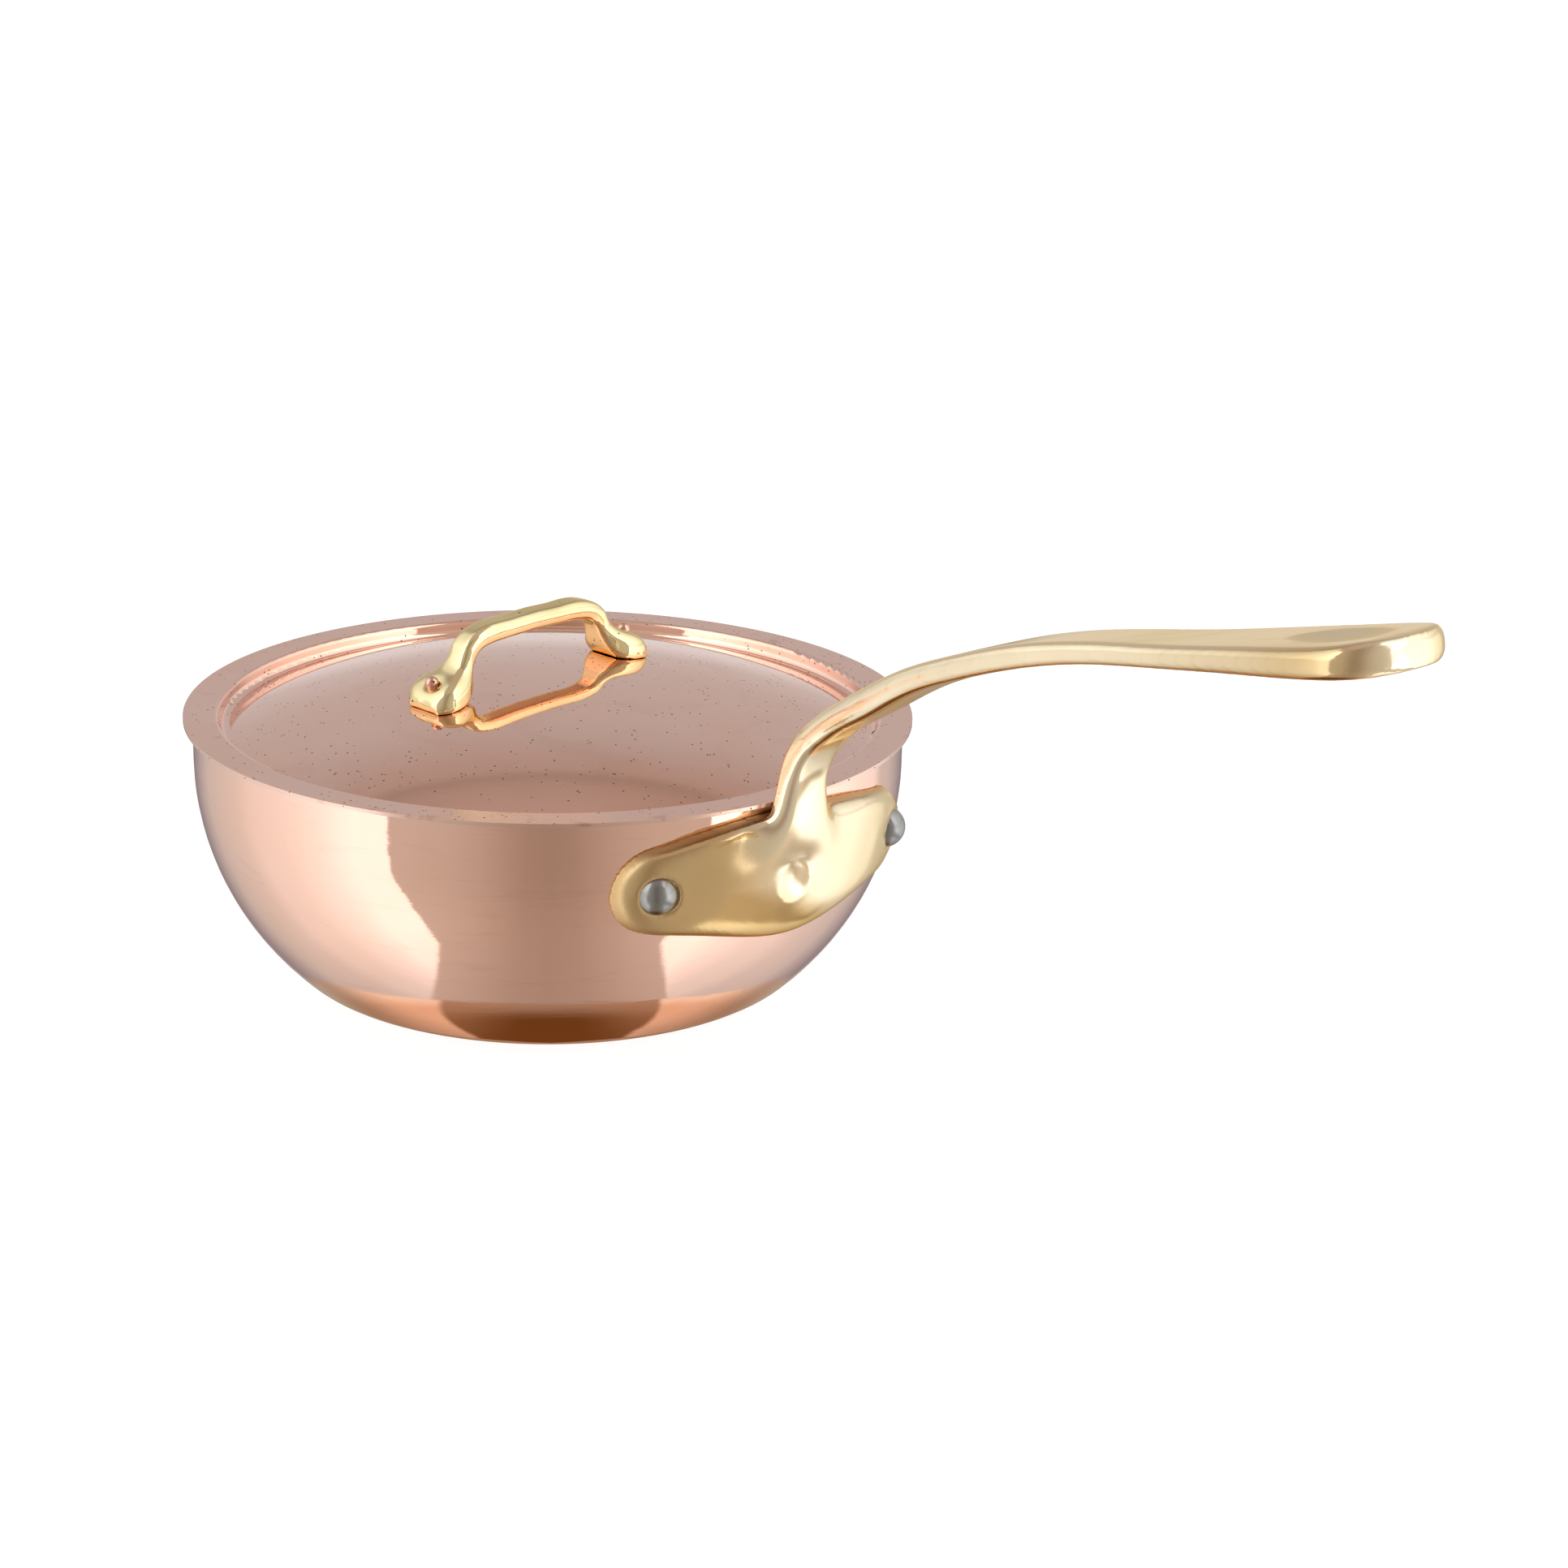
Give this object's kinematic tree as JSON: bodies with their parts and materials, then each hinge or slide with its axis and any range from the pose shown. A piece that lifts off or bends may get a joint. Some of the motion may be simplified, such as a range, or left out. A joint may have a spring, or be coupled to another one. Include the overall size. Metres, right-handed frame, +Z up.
{
  "type": "saucepan",
  "caption": "Curved-wall copper saucepan with a steel lining, a riveted cast stick handle and a domed lift-off lid.",
  "frame": {"origin": "centre of the flat underside of the base", "axes": "+Z up along the pan's axis, +X along the stick handle, +Y to its left seen from the pan"},
  "size_m": [0.482, 0.247, 0.196],
  "materials": {
    "pan_copper": "polished copper sheet",
    "lid_copper": "polished copper sheet with fine specks",
    "steel_lining": "brushed stainless lining",
    "cast_bronze": "cast, ground and hand polished",
    "lid_brass": "cast and hand polished",
    "steel_rivet": "satin domed head",
    "copper_rivet": "hammered copper head"
  },
  "bodies": {
    "pan": {"pan_copper_shell": "pan_copper", "pan_steel_lining": "steel_lining", "stick_handle": "cast_bronze", "handle_rivet_left": "steel_rivet", "handle_rivet_right": "steel_rivet"},
    "lid": {"lid_copper_shell": "lid_copper", "lid_steel_lining": "steel_lining", "lid_handle": "lid_brass", "lid_rivet_left": "copper_rivet", "lid_rivet_right": "copper_rivet"}
  },
  "joints": [
    {"name": "lid_lift", "type": "slide", "parent": "pan", "child": "lid", "axis": [0, 0, 1], "range_m": [0, 0.15]}
  ]
}
